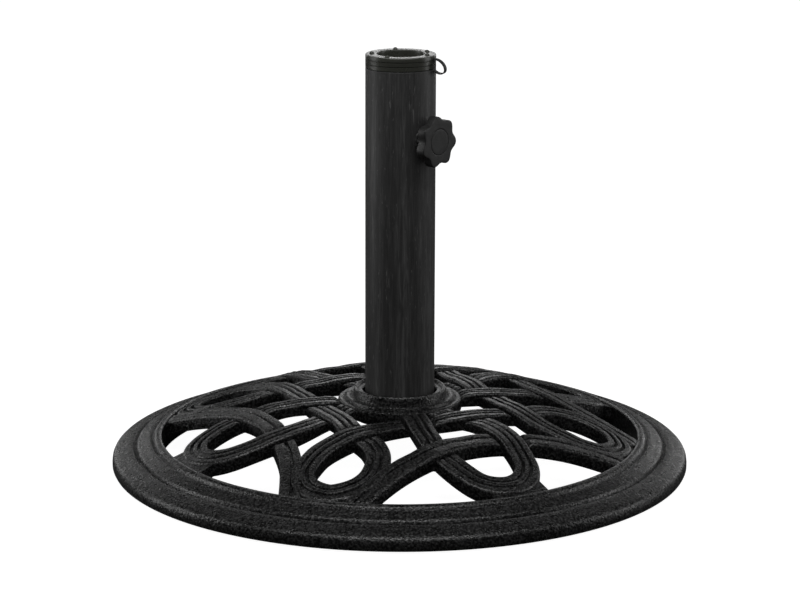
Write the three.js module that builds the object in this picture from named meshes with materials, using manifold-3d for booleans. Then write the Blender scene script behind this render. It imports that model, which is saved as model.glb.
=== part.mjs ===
// Garden parasol base: an openwork cast-iron ring with a bolted steel column, a star clamp
// knob and a lift-out pole insert. Millimetres, +Z up, floor at z = 0.
import * as THREE from 'three';
import { mergeVertices } from 'three/addons/utils/BufferGeometryUtils.js';
import Module from 'manifold-3d';

const wasm = await Module();
wasm.setup();

// ---- driving dimensions (heights are above the underside of the casting) ----
const FOOT_STAND = 1.5; // how far the rubber feet hold the casting off the floor
const RIM_R = 225; // outer radius of the casting
const RIM_INNER_R = 186; // inner radius of the rim at its top edge
const CORE_IN = 198; // channel cored out of the underside of the rim
const CORE_OUT = 213;
const CORE_DEPTH = 9;
const FEET = 6;
const FOOT_R = 7.2;

const PATTERN_TURN = 252.8; // angle of the first tight loop, degrees from +X
const QUARTERS = 4;
const LOOP_WIDTH = 18; // width of the crossing loops
const ARCH_WIDTH = 16;
const RIB_PIECES = 2; // straight pieces between two points of a rib's centreline

const HUB_R = 48.3;
const HUB_FLOOR = 43; // floor of the socket that the column stands in
const HUB_BOTTOM = 36;
const SOCKET_R = 28.8;

const TUBE_R = 27;
const TUBE_WALL = 2;
const TUBE_TOP = 312;
const GAP = 0.3; // clearance between pieces that touch
const PLATE_T = 5;
const NUT_AF = 18;
const NUT_T = 10;
const BOLT_R = 5.8;

const COLLAR_H = 10.2; // visible collar of the insert
const BORE_R = 17.9; // pole hole through the insert
const SLEEVE_BOTTOM = 267;
const NUBS = [24, 101, 180, 242, 336];
const NUB_AT = 22;
const NUB_R = 1.7;

const KNOB_AZ = -41; // direction the clamp screw points, degrees from +X
const KNOB_Z = 258.9;
const KNOB_BACK = 32; // distances from the column axis
const KNOB_FACE = 39.4;
const KNOB_R = 19.8;
const KNOB_VALLEY_R = 16.6;
const LOBES = 7;
const LOBE_TURN = 97;
const CAP_R = 10;
const BOSS_AF = 19;
const BOSS_END = 29.8;
const SCREW_R = 4.7;
const PAD_TIP = 19.5;
const PAD_T = 2.9;

const LOOP_AZ = -20; // direction of the pull loop
const LOOP_STRAP = 5; // width of its strap
const LOOP_DROOP = 40; // how far its far end hangs down, degrees
const LOOP_REACH = 30.1; // its middle, out from the column axis
const LOOP_Z = 314.3; // and up from the casting's underside

// ---- solids and booleans ----
function weld(geometry) {
  const bare = geometry.clone();
  bare.deleteAttribute('normal');
  bare.deleteAttribute('uv');
  const merged = mergeVertices(bare, 1e-4);
  const kept = [];
  const index = merged.index.array;
  for (let i = 0; i < index.length; i += 3) {
    const [a, b, c] = [index[i], index[i + 1], index[i + 2]];
    if (a !== b && b !== c && c !== a) kept.push(a, b, c);
  }
  merged.setIndex(kept);
  return merged;
}

function solid(geometry) {
  const welded = weld(geometry);
  return new wasm.Manifold(new wasm.Mesh({
    numProp: 3,
    vertProperties: Float32Array.from(welded.attributes.position.array),
    triVerts: Uint32Array.from(welded.index.array),
  }));
}

function geometryOf(manifold) {
  const mesh = manifold.getMesh();
  const geometry = new THREE.BufferGeometry();
  geometry.setAttribute('position', new THREE.BufferAttribute(Float32Array.from(mesh.vertProperties), 3));
  geometry.setIndex(Array.from(mesh.triVerts));
  return geometry;
}

function cut(geometry, ...tools) {
  return geometryOf(tools.reduce((body, tool) => body.subtract(solid(tool)), solid(geometry)));
}

function join(geometry, ...others) {
  return geometryOf(others.reduce((body, other) => body.add(solid(other)), solid(geometry)));
}

// A closed profile of [radius, height] pairs, anticlockwise, turned about the Z axis.
function turned(profile, segments) {
  const points = profile.map(([r, z]) => new THREE.Vector2(r, z));
  if (profile[0][0] > 0) points.push(points[0].clone());
  return new THREE.LatheGeometry(points, segments).rotateX(Math.PI / 2);
}

function prism(shape, bottom, top) {
  const depth = top - bottom;
  return new THREE.ExtrudeGeometry(shape, { depth, bevelEnabled: false, curveSegments: 16 })
    .translate(0, 0, bottom);
}

function circlePath(radius) {
  const path = new THREE.Path();
  path.absarc(0, 0, radius, 0, 2 * Math.PI, true);
  return path;
}

function discShape(radius, holeRadius = 0) {
  const shape = new THREE.Shape();
  shape.absarc(0, 0, radius, 0, 2 * Math.PI, false);
  if (holeRadius > 0) shape.holes.push(circlePath(holeRadius));
  return shape;
}

function hexShape(acrossFlats, holeRadius = 0) {
  const corner = acrossFlats / Math.sqrt(3);
  const shape = new THREE.Shape();
  for (let i = 0; i < 6; i++) {
    const angle = (i * Math.PI) / 3;
    const place = [corner * Math.cos(angle), corner * Math.sin(angle)];
    if (i === 0) shape.moveTo(...place);
    else shape.lineTo(...place);
  }
  if (holeRadius > 0) shape.holes.push(circlePath(holeRadius));
  return shape;
}

// ---- the assembly ----
const group = new THREE.Group();
group.name = 'parasol_base';

function add(name, geometry, color, roughness, metalness) {
  const placed = weld(geometry).translate(0, 0, FOOT_STAND);
  placed.computeVertexNormals();
  const material = new THREE.MeshStandardMaterial({ color, roughness, metalness });
  material.name = name;
  const mesh = new THREE.Mesh(placed, material);
  mesh.name = name;
  group.add(mesh);
}

// ---- casting: rim, hub and the woven openwork between them ----
// Centrelines are [degrees, radius] over one quarter; 0 degrees is the middle of a tight loop.
const TIGHT_LOOP = [
  [5, 170.5], [0, 177], [-6, 171.5], [-9.5, 158], [-10.2, 142], [-9.5, 126], [-5.5, 107],
  [2, 90.5], [13, 77.5], [28, 69], [44, 68], [60, 71], [73, 77], [81, 86.5], [90, 100],
  [97.5, 115], [100.5, 134], [99.5, 154], [96, 168], [90, 177], [84, 171.5],
];
const TIGHT_TOP = 10; // the point of the line above where it is nearest the hub
const WIDE_LOOP = [
  [29, 42], [29, 66], [29, 92], [31, 122], [34, 144], [37.5, 162], [41, 170], [45.5, 173],
  [50, 169], [54, 158], [57.5, 138], [60.5, 118], [62.3, 98], [61.3, 81], [57, 62], [53, 42],
];
const ARCH = [
  [7, 188], [11, 166], [16, 148], [23, 132.5], [33, 120], [45, 115.5], [57, 120], [67, 132.5],
  [74, 148], [78.5, 166], [82, 188],
];
// Top and underside of the openwork, as [radius, height].
const DOME = [
  [40, 52.2], [60, 52], [95, 50.5], [115, 47.3], [136, 42], [158, 34.6], [190, 22.4],
];
const UNDERSIDE = [
  [40, 42], [60, 42], [90, 41.3], [118, 34.7], [136, 30], [158, 22.6], [190, 10.4],
];
const TIGHT_WEB = { middle: 0, half: 10.5, inner: 174 };
const WIDE_WEB = { middle: 46.3, half: 7.2, inner: 168 };

function polar(degrees, radius, turn = 0) {
  const angle = THREE.MathUtils.degToRad(degrees + PATTERN_TURN + turn);
  return new THREE.Vector2(radius * Math.cos(angle), radius * Math.sin(angle));
}

// The outline of a band of one width, from one point of its centreline to another.
function bandShape(points, width, first, last, carry) {
  const curve = new THREE.SplineCurve(points);
  const count = (last - first) * RIB_PIECES;
  const left = [];
  const right = [];
  for (let i = 0; i <= count; i++) {
    const at = (first + i / RIB_PIECES) / (points.length - 1);
    const tangent = curve.getTangent(at);
    const point = curve.getPoint(at);
    if (i === 0) point.addScaledVector(tangent, -carry);
    if (i === count) point.addScaledVector(tangent, carry);
    const side = new THREE.Vector2(-tangent.y, tangent.x).multiplyScalar(width / 2);
    left.push(point.clone().add(side));
    right.unshift(point.clone().sub(side));
  }
  return new THREE.Shape([...right, ...left]);
}

function webShape({ middle, half, inner }, turn) {
  const points = [];
  for (let i = -3; i <= 3; i++) points.push(polar(middle + (half * i) / 3, inner, turn));
  for (let i = 3; i >= -3; i--) points.push(polar(middle + (half * i) / 3, RIM_INNER_R + 4, turn));
  return new THREE.Shape(points);
}

function openwork() {
  const shapes = [];
  for (let quarter = 0; quarter < QUARTERS; quarter++) {
    const turn = (360 / QUARTERS) * quarter;
    const place = (line) => line.map(([degrees, radius]) => polar(degrees, radius, turn));
    const end = TIGHT_LOOP.length - 2;
    shapes.push(bandShape(place(TIGHT_LOOP), LOOP_WIDTH, 1, TIGHT_TOP, 1));
    shapes.push(bandShape(place(TIGHT_LOOP), LOOP_WIDTH, TIGHT_TOP, end, 1));
    shapes.push(bandShape(place(WIDE_LOOP), LOOP_WIDTH, 0, WIDE_LOOP.length - 1, 0));
    shapes.push(bandShape(place(ARCH), ARCH_WIDTH, 0, ARCH.length - 1, 0));
    shapes.push(webShape(TIGHT_WEB, turn));
    shapes.push(webShape(WIDE_WEB, turn));
  }
  const bands = wasm.Manifold.union(shapes.map((shape) => solid(prism(shape, 0, 70))));
  return bands.intersect(solid(turned([...UNDERSIDE, ...DOME.slice().reverse()], 40)));
}

function rim() {
  return solid(turned([
    [RIM_INNER_R + 2, 0], [CORE_IN, 0], [CORE_IN, CORE_DEPTH], [CORE_OUT, CORE_DEPTH],
    [CORE_OUT, 0], [RIM_R - 1.5, 0], [RIM_R, 1.5], [RIM_R - 0.5, 4], [RIM_R - 2.2, 7.2],
    [RIM_R - 5, 9.8], [RIM_R - 9, 12], [RIM_R - 16.5, 15], [RIM_R - 18.5, 15.4],
    [RIM_R - 22, 18.8], [RIM_R - 26, 20.9], [RIM_R - 31, 21.8], [RIM_R - 36, 23.4],
    [RIM_INNER_R + 0.8, 23.6], [RIM_INNER_R, 22.4],
  ], 72));
}

function hub() {
  return solid(turned([
    [BOLT_R + 1, HUB_BOTTOM], [36, HUB_BOTTOM], [40, 38], [HUB_R - 1, 41.2], [HUB_R, 50.4],
    [HUB_R - 1.2, 51.4], [43, 52.2], [41.8, 54.6], [40.4, 55.6], [36.4, 56], [35.2, 57],
    [34.8, 59.4], [33.8, 60.2], [SOCKET_R + 0.8, 60.2], [SOCKET_R, 59.4],
    [SOCKET_R, HUB_FLOOR], [BOLT_R + 1, HUB_FLOOR],
  ], 64));
}

const casting = openwork().add(rim()).add(hub());
add('base_casting', geometryOf(casting), 0x2c2d2e, 0.6, 0.35);

for (let i = 0; i < FEET; i++) {
  const angle = (2 * Math.PI * i) / FEET;
  const middle = (CORE_IN + CORE_OUT) / 2;
  const foot = new THREE.CylinderGeometry(FOOT_R, FOOT_R, CORE_DEPTH - GAP + FOOT_STAND, 24)
    .rotateX(Math.PI / 2)
    .translate(
      middle * Math.cos(angle),
      middle * Math.sin(angle),
      (CORE_DEPTH - GAP - FOOT_STAND) / 2,
    );
  add(`rubber_foot_${i + 1}`, foot, 0x1b1b1b, 0.9, 0);
}

// ---- pieces on the clamp screw's axis are built along +Z and turned into place ----
const outward = new THREE.Vector3(
  Math.cos(THREE.MathUtils.degToRad(KNOB_AZ)),
  Math.sin(THREE.MathUtils.degToRad(KNOB_AZ)),
  0,
);
const across = new THREE.Vector3(-outward.y, outward.x, 0);
const screwFrame = new THREE.Matrix4()
  .makeBasis(across, new THREE.Vector3(0, 0, 1), outward)
  .setPosition(0, 0, KNOB_Z);

function onScrew(geometry) {
  return geometry.applyMatrix4(screwFrame);
}

// ---- column ----
const plateBottom = HUB_FLOOR + GAP;
const plateTop = plateBottom + PLATE_T;
const tubeBottom = plateTop + GAP;
const tubeBore = TUBE_R - TUBE_WALL;

const tube = turned([
  [tubeBore, tubeBottom], [TUBE_R, tubeBottom], [TUBE_R, TUBE_TOP], [tubeBore, TUBE_TOP],
], 64);
const screwHole = onScrew(prism(discShape(SCREW_R + 0.8), 15, 35));
add('column_tube', cut(tube, screwHole), 0x232325, 0.45, 0.5);
add('column_foot_plate', prism(discShape(TUBE_R - 0.4, BOLT_R + GAP + 0.2), plateBottom, plateTop),
  0x3a3b3d, 0.5, 0.7);
add('foot_nut', prism(hexShape(NUT_AF, BOLT_R + GAP), tubeBottom, tubeBottom + NUT_T),
  0xa3a6a8, 0.4, 0.9);

const washerTop = HUB_BOTTOM - GAP;
const washerBottom = washerTop - 2;
add('flat_washer', prism(discShape(12, BOLT_R + 0.7), washerBottom, washerTop), 0xa9acae, 0.4, 0.9);

function springWasherShape(outer, inner, slit) {
  const shape = new THREE.Shape();
  shape.absarc(0, 0, outer, slit / outer, 2 * Math.PI - slit / outer, false);
  shape.absarc(0, 0, inner, 2 * Math.PI - slit / inner, slit / inner, true);
  return shape;
}
const springTop = washerBottom - GAP;
const springBottom = springTop - 2.5;
add('spring_washer', prism(springWasherShape(10.5, BOLT_R + 0.5, 0.8), springBottom, springTop),
  0x8d9092, 0.45, 0.9);

const headTop = springBottom - GAP;
const boltHead = prism(hexShape(NUT_AF), headTop - 7, headTop);
const boltShank = prism(discShape(BOLT_R), headTop - 1, tubeBottom + NUT_T + 2.5);
add('base_bolt', join(boltHead, boltShank), 0x9a9da0, 0.4, 0.9);

const boss = onScrew(prism(hexShape(BOSS_AF, SCREW_R + 0.4), 22.5, BOSS_END));
const tubeClear = new THREE.CylinderGeometry(TUBE_R + GAP, TUBE_R + GAP, 60, 96)
  .rotateX(Math.PI / 2)
  .translate(0, 0, KNOB_Z);
add('clamp_boss', cut(boss, tubeClear), 0x232325, 0.5, 0.6);

// ---- pole insert ----
const collarBottom = TUBE_TOP + GAP;
const collarTop = collarBottom + COLLAR_H;
const band = COLLAR_H / 3;
const spigotR = tubeBore - GAP;
const groove = (z) => [[TUBE_R, z - 0.4], [TUBE_R - 0.5, z - 0.2], [TUBE_R - 0.5, z + 0.2],
  [TUBE_R, z + 0.4]];
const insertBody = turned([
  [BORE_R, SLEEVE_BOTTOM], [20.3, SLEEVE_BOTTOM], [20.3, collarBottom + 1], [22, collarBottom + 1],
  [22, TUBE_TOP - 10], [spigotR, TUBE_TOP - 10], [spigotR, collarBottom], [TUBE_R, collarBottom],
  ...groove(collarBottom + band), ...groove(collarBottom + 2 * band),
  [TUBE_R, collarTop - 0.6], [TUBE_R - 0.6, collarTop], [BORE_R + 0.6, collarTop],
  [BORE_R, collarTop - 0.6],
], 48);
const insertExtras = [];
for (let i = 0; i < 6; i++) {
  const height = collarBottom + 1 - SLEEVE_BOTTOM - 2;
  insertExtras.push(new THREE.BoxGeometry(spigotR - 19.2, 2.4, height)
    .translate((spigotR + 19) / 2, 0, SLEEVE_BOTTOM + 2 + height / 2)
    .rotateZ((i * Math.PI) / 3));
}
for (const degrees of NUBS) {
  const angle = THREE.MathUtils.degToRad(degrees);
  insertExtras.push(new THREE.SphereGeometry(NUB_R, 12, 8)
    .rotateX(Math.PI / 2)
    .translate(NUB_AT * Math.cos(angle), NUB_AT * Math.sin(angle), collarTop + 0.2));
}
add('pole_insert', join(insertBody, ...insertExtras), 0x262723, 0.4, 0);

function pullLoop() {
  const shape = new THREE.Shape();
  shape.absellipse(0, 0, 7.2, 4.8, 0, 2 * Math.PI, false);
  const hole = new THREE.Path();
  hole.absellipse(0, 0, 6.3, 3.9, 0, 2 * Math.PI, true);
  shape.holes.push(hole);
  const ring = prism(shape, -LOOP_STRAP / 2, LOOP_STRAP / 2)
    .rotateX(Math.PI / 2)
    .rotateY(THREE.MathUtils.degToRad(LOOP_DROOP))
    .translate(LOOP_REACH, 0, LOOP_Z)
    .rotateZ(THREE.MathUtils.degToRad(LOOP_AZ));
  const clear = new THREE.CylinderGeometry(TUBE_R + GAP, TUBE_R + GAP, 40, 96)
    .rotateX(Math.PI / 2)
    .translate(0, 0, collarBottom);
  return cut(ring, clear);
}
add('pull_loop', pullLoop(), 0x1f201e, 0.5, 0);

// ---- clamp knob, screw and pressure pad ----
function knobShape() {
  const middle = (KNOB_R + KNOB_VALLEY_R) / 2;
  const swing = (KNOB_R - KNOB_VALLEY_R) / 2;
  const points = [];
  for (let i = 0; i < LOBES * 12; i++) {
    const angle = (2 * Math.PI * i) / (LOBES * 12);
    const radius = middle + swing * Math.cos(LOBES * (angle - THREE.MathUtils.degToRad(LOBE_TURN)));
    points.push(new THREE.Vector2(radius * Math.cos(angle), radius * Math.sin(angle)));
  }
  return new THREE.Shape(points);
}
const capBottom = KNOB_FACE - 0.9;
const knobDisc = new THREE.ExtrudeGeometry(knobShape(), {
  depth: KNOB_FACE - KNOB_BACK - 2, bevelThickness: 1, bevelSize: 1, bevelOffset: -1, bevelSegments: 2,
}).translate(0, 0, KNOB_BACK + 1);
const knobBore = prism(discShape(SCREW_R + GAP), KNOB_BACK - 1, KNOB_FACE - 2.2);
const capSeat = prism(discShape(CAP_R + GAP), capBottom - GAP, KNOB_FACE + 1);
add('clamp_knob', onScrew(cut(knobDisc, knobBore, capSeat)), 0x2a2a2a, 0.5, 0);
add('knob_cap', onScrew(prism(discShape(CAP_R), capBottom, KNOB_FACE + 0.4)), 0x2c2c2c, 0.45, 0);
const screwTip = PAD_TIP + PAD_T + GAP;
add('clamp_screw', onScrew(prism(discShape(SCREW_R), screwTip, KNOB_FACE - 2.2 - GAP)),
  0x9c9fa2, 0.35, 0.9);
add('pressure_pad', onScrew(prism(discShape(SCREW_R - 0.3), PAD_TIP, PAD_TIP + PAD_T)),
  0x202020, 0.6, 0);

export default group;
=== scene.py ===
# Garden parasol base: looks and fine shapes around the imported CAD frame. Shapes are worked
# out in millimetres above the underside of the casting and placed in metres.
import math

import bmesh
import bpy
import numpy as np
from mathutils import Matrix, Vector, noise


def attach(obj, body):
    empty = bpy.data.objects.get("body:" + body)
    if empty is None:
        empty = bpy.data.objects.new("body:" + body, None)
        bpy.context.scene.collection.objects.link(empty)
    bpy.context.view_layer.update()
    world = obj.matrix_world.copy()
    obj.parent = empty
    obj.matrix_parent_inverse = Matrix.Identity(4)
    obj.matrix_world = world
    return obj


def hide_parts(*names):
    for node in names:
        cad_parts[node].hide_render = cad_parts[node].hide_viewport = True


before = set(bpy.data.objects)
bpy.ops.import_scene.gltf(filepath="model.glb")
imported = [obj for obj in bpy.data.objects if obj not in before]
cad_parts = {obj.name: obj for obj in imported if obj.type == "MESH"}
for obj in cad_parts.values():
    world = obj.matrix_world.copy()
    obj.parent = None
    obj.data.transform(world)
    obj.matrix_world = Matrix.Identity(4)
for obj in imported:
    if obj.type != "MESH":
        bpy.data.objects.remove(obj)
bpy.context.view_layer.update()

MM = 0.001
FOOT_STAND = 1.5  # the rubber feet hold the casting this far off the floor

# ---- the casting's driving dimensions, as in the CAD ----
RIM_R = 225.0
RIM_INNER_R = 186.0
CORE_IN, CORE_OUT, CORE_DEPTH = 198.0, 213.0, 9.0
FEET, FOOT_R = 6, 7.2
PATTERN_TURN = 252.8
QUARTERS = 4
HUB_R = 48.3
HUB_FLOOR, HUB_BOTTOM = 43.0, 36.0
SOCKET_R = 28.8

# ---- the column's, the fastenings', the insert's and the knob's ----
GAP = 0.3
TUBE_R, TUBE_WALL, TUBE_TOP = 27.0, 2.0, 312.0
PLATE_BOTTOM, PLATE_T = HUB_FLOOR + GAP, 5.0
TUBE_BOTTOM = PLATE_BOTTOM + PLATE_T + GAP
NUT_AF, NUT_T, BOLT_R = 18.0, 10.0, 5.8
WASHER_TOP = HUB_BOTTOM - GAP
SPRING_TOP = WASHER_TOP - 2.0 - GAP
HEAD_TOP = SPRING_TOP - 2.5 - GAP
COLLAR_BOTTOM = TUBE_TOP + GAP
COLLAR_H = 10.2
BORE_R = 17.9
SLEEVE_BOTTOM = 267.0
NUBS = (24, 101, 180, 242, 336)
NUB_AT, NUB_R = 22.0, 2.0
KNOB_AZ, KNOB_Z = -41.0, 258.9
KNOB_BACK, KNOB_FACE = 32.0, 39.4
KNOB_R, KNOB_VALLEY_R = 19.8, 16.6
LOBES, LOBE_TURN = 7, 97.0
CAP_R = 10.0
CAP_BOTTOM = KNOB_FACE - 0.9
SCREW_R, SCREW_PITCH = 4.7, 1.5
BOSS_AF, BOSS_END = 19.0, 29.8
PAD_TIP, PAD_T = 19.5, 2.9
LOOP_AZ, LOOP_DROOP = -20.0, 40.0
LOOP_REACH, LOOP_Z = 30.1, 314.3
LOOP_STRAP = 5.0

# Centrelines are (degrees, radius) over one quarter; 0 degrees is the middle of a tight loop.
TIGHT_LOOP = [
    (5, 170.5), (0, 177), (-6, 171.5), (-9.5, 158), (-10.2, 142), (-9.5, 126), (-5.5, 107),
    (2, 90.5), (13, 77.5), (28, 69), (44, 68), (60, 71), (73, 77), (81, 86.5), (90, 100),
    (97.5, 115), (100.5, 134), (99.5, 154), (96, 168), (90, 177), (84, 171.5),
]
WIDE_LOOP = [
    (29, 42), (29, 66), (29, 92), (31, 122), (34, 144), (37.5, 162), (41, 170), (45.5, 173),
    (50, 169), (54, 158), (57.5, 138), (60.5, 118), (62.3, 98), (61.3, 81), (57, 62), (53, 42),
]
ARCH = [
    (7, 188), (11, 166), (16, 148), (23, 132.5), (33, 120), (45, 115.5), (57, 120),
    (67, 132.5), (74, 148), (78.5, 166), (82, 188),
]
DOME = [(40, 52.2), (60, 52), (95, 50.5), (115, 47.3), (136, 42), (158, 34.6), (190, 22.4)]
UNDERSIDE = [(40, 42), (60, 42), (90, 41.3), (118, 34.7), (136, 30), (158, 22.6), (190, 10.4)]

# Where each line passes over (+1) or under (-1) another: (degrees, radius, sign).
TIGHT_KNOTS = [(-1.5, 98, 1), (29, 69, -1), (59.5, 71, 1), (88.5, 98, -1)]
WIDE_KNOTS = [(29, 69, 1), (31, 122, -1), (60, 121, 1), (59.5, 71, -1)]
ARCH_KNOTS = [(31, 122, 1), (60, 121, -1)]
OVER_LIFT, UNDER_DIP = 1.0, 1.0
KNOT_FLAT, KNOT_REACH = 8.0, 25.0
CROSSING_REACH = 34.0  # beyond this from a crossing the ribs take no notice of it
NARROW_BAR = 6.5  # a bar narrower than this is crowned; a wider one is slightly hollow
TIP_GAP, TIP_ROUND, TIP_DROP = 0.9, 4.6, 3.8  # a bar's rounded end beside the rib over it

# Bars run along the top of each rib; these are their edges across it, from the middle.
LOOP_BARS = (-9.5, -2.9, 2.9, 9.5)
ARCH_BARS = (-8.5, 1.0, 8.5)
GROOVE_DEEP, GROOVE_REACH = 2.3, 1.7
SHOULDER = 2.2
FILLET = 2.0

# ---- mesh helpers ----
def link(name, mesh, material, body=None):
    piece = bpy.data.objects.new(name, mesh)
    bpy.context.scene.collection.objects.link(piece)
    mesh.materials.clear()
    mesh.materials.append(material)
    if body:
        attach(piece, body)
    return piece


def stand_for(node, mesh, material, body, angle=32.0):
    """A finished piece that replaces the CAD node of the same shape."""
    piece = link(f"{node}_fine", shade(mesh, angle), material, body)
    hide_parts(node)
    return piece


def mesh_from(name, verts, faces):
    mesh = bpy.data.meshes.new(name)
    mesh.from_pydata([(x * MM, y * MM, (z + FOOT_STAND) * MM) for x, y, z in verts], [], faces)
    mesh.validate()
    return mesh


def shade(mesh, angle):
    """Smooth faces, with the edges sharper than the angle left crisp."""
    work = bmesh.new()
    work.from_mesh(mesh)
    bmesh.ops.recalc_face_normals(work, faces=work.faces)
    limit = math.radians(angle)
    for face in work.faces:
        face.smooth = True
    for edge in work.edges:
        edge.smooth = edge.is_manifold and edge.calc_face_angle(0.0) < limit
    work.to_mesh(mesh)
    work.free()
    return mesh


def lofted(rings, closed=False):
    """A solid through rings of equal length; closed joins the last ring to the first."""
    verts = [vert for ring in rings for vert in ring]
    count = len(rings[0])
    faces = []
    for i in range(len(rings) if closed else len(rings) - 1):
        a, b = i * count, ((i + 1) % len(rings)) * count
        for j in range(count):
            k = (j + 1) % count
            faces.append((a + j, a + k, b + k, b + j))
    if not closed:
        faces.append(tuple(range(count))[::-1])
        faces.append(tuple(range(len(verts) - count, len(verts))))
    return verts, faces


def circle(radius, z, steps):
    angles = [2 * math.pi * i / steps for i in range(steps)]
    return [(radius * math.cos(a), radius * math.sin(a), z) for a in angles]


def turned(profile, steps):
    """A closed ring: (radius, height) pairs turned about the Z axis."""
    return lofted([circle(r, z, steps) for r, z in profile], closed=True)


def spun(profile, steps):
    """A solid with flat ends: (radius, height) pairs from its bottom to its top."""
    return lofted([circle(r, z, steps) for r, z in profile])


def rounded(profile, radius, corners, steps=4):
    """The closed profile with the numbered corners rounded by short curves."""
    out = []
    count = len(profile)
    for i, point in enumerate(profile):
        if i not in corners:
            out.append(tuple(point))
            continue
        here = Vector(point)
        before = Vector(profile[i - 1]) - here
        after = Vector(profile[(i + 1) % count]) - here
        reach = min(radius, before.length * 0.45, after.length * 0.45)
        start = here + before.normalized() * reach
        end = here + after.normalized() * reach
        for s in range(steps + 1):
            t = s / steps
            out.append(tuple((1 - t) ** 2 * start + 2 * t * (1 - t) * here + t * t * end))
    return out


def combine(first, others, operation="UNION"):
    """Boolean of one object with several, kept as a plain mesh; the inputs are removed."""
    tools = bpy.data.collections.new("tools")
    bpy.context.scene.collection.children.link(tools)
    for other in others:
        tools.objects.link(other)
    modifier = first.modifiers.new("boolean", "BOOLEAN")
    modifier.operation = operation
    modifier.solver = "MANIFOLD"
    modifier.operand_type = "COLLECTION"
    modifier.collection = tools
    bpy.context.view_layer.update()
    graph = bpy.context.evaluated_depsgraph_get()
    mesh = bpy.data.meshes.new_from_object(first.evaluated_get(graph))
    for other in [first, *others]:
        bpy.data.objects.remove(other)
    bpy.data.collections.remove(tools)
    return mesh


def loose(verts_faces, name="tool"):
    """A solid still to be cut or joined; a mesh made here before may come back for more."""
    mesh = verts_faces
    if not isinstance(mesh, bpy.types.Mesh):
        mesh = mesh_from(name, *verts_faces)
        work = bmesh.new()
        work.from_mesh(mesh)
        bmesh.ops.recalc_face_normals(work, faces=work.faces)
        work.to_mesh(mesh)
        work.free()
    piece = bpy.data.objects.new(name, mesh)
    bpy.context.scene.collection.objects.link(piece)
    return piece


def moved(verts_faces, place):
    """The same faces with each point put through a function."""
    verts, faces = verts_faces
    return [place(*vert) for vert in verts], faces


def smooth_step(t):
    t = max(0.0, min(1.0, t))
    return t * t * (3 - 2 * t)


def hexagon(across, bottom, top, chamfer_bottom=0.0, chamfer_top=0.0):
    """A hexagonal prism whose corners are turned off at the ends by these heights."""
    corner = across / math.sqrt(3)
    prism = [circle(corner, z, 6) for z in (bottom, top)]
    flat = across / 2 * 0.97
    limit = [(corner + 0.1, bottom + chamfer_bottom), (corner + 0.1, top - chamfer_top)]
    if chamfer_bottom:
        limit.insert(0, (flat, bottom - 0.01))
    else:
        limit.insert(0, (corner + 0.1, bottom - 0.5))
    if chamfer_top:
        limit.append((flat, top + 0.01))
    else:
        limit.append((corner + 0.1, top + 0.5))
    return combine(loose(lofted(prism)), [loose(spun(limit, 96))], "INTERSECT")


def threaded(radius, depth, pitch, bottom, top, steps=40):
    """A screw with a rounded V thread, tapered off at both ends."""
    rings = []
    count = math.ceil((top - bottom) / pitch * 8)
    for i in range(count + 1):
        z = bottom + (top - bottom) * i / count
        end = min(z - bottom, top - z) / pitch
        ring = []
        for j in range(steps):
            turn = j / steps
            phase = (z / pitch - turn) % 1.0
            crest = min(1.0, abs(2 * phase - 1) * 1.25)
            r = radius - depth * (1 - crest)
            if end < 0.7:
                r = min(r, radius - depth * (1 - end / 0.7))
            angle = 2 * math.pi * turn
            ring.append((r * math.cos(angle), r * math.sin(angle), z))
        rings.append(ring)
    return lofted(rings)


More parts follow.
